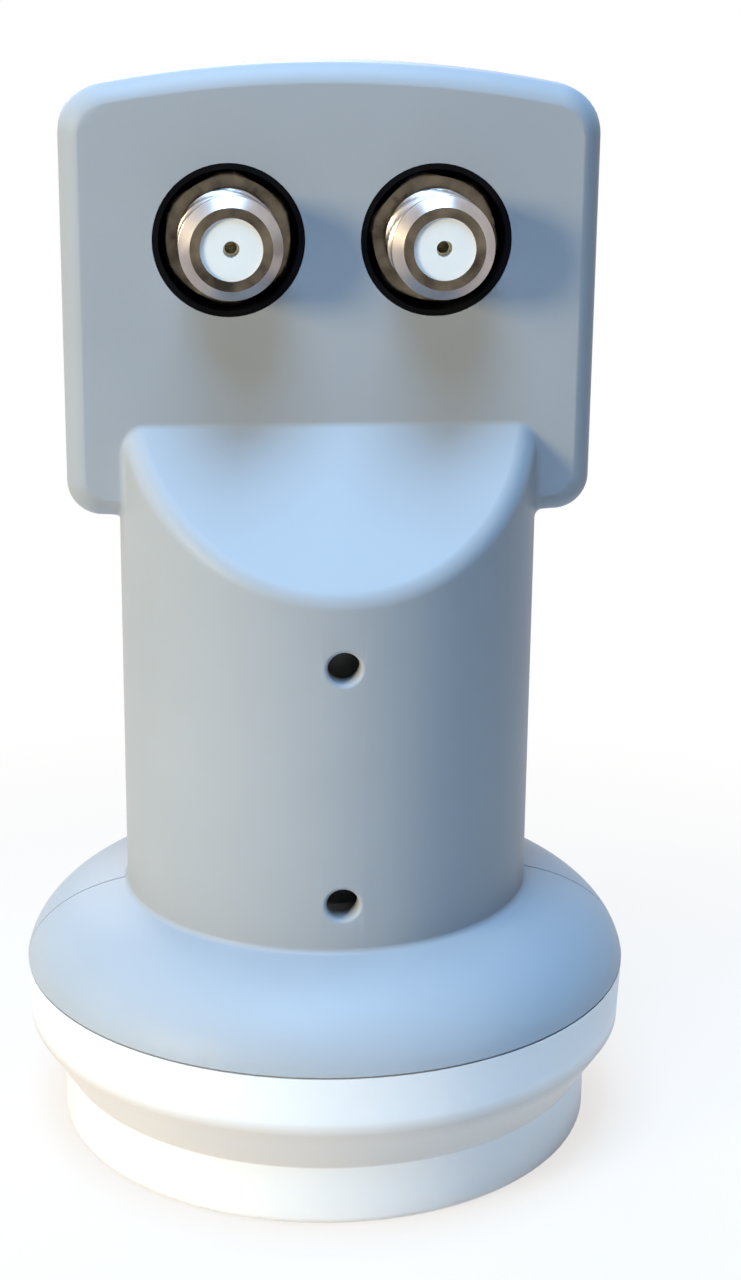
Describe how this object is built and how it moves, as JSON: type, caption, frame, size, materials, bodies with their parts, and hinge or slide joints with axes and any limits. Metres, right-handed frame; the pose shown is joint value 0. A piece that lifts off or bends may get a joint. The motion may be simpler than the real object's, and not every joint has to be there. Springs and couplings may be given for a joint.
{
  "type": "satellite receiver head",
  "caption": "Grey satellite dish receiver head with a white feed cap, a domed flange, a round clamping neck and a box head with threaded coaxial sockets in its face.",
  "frame": {"origin": "centre of the feed cap's flat front, on the feed axis, where the part stands", "axes": "+Z along the feed axis from the cap to the head, -Y the way the sockets point, +X to the right of someone who faces the sockets"},
  "size_m": [0.0603, 0.0602, 0.1049],
  "materials": {
    "housing": "satin moulded light grey",
    "cap": "satin moulded white",
    "rubber": "matte black",
    "casting": "as cast",
    "sheet": "rolled",
    "steel": "zinc plated",
    "board": "solder mask",
    "contact": "gold flashed",
    "insulator": "matte white",
    "package": "matte black",
    "plated": "bright nickel plate"
  },
  "bodies": {
    "root": {"housing_front": "housing", "housing_rear": "housing", "feed_cap": "cap", "cap_seal": "rubber", "horn_casting": "casting", "cover_gasket": "rubber", "shield_cover": "sheet", "cover_screws": "steel", "circuit_board": "board", "board_screws": "steel", "vertical_probe": "contact", "horizontal_probe": "contact", "probe_sleeves": "insulator", "reflector_pin": "steel", "transistors": "package", "converter_chips": "package", "reference_crystal": "steel", "regulators": "package", "socket_body_left": "plated", "socket_insulator_left": "insulator", "socket_contact_left": "contact", "socket_seal_left": "rubber", "socket_body_right": "plated", "socket_insulator_right": "insulator", "socket_contact_right": "contact", "socket_seal_right": "rubber"}
  },
  "joints": []
}
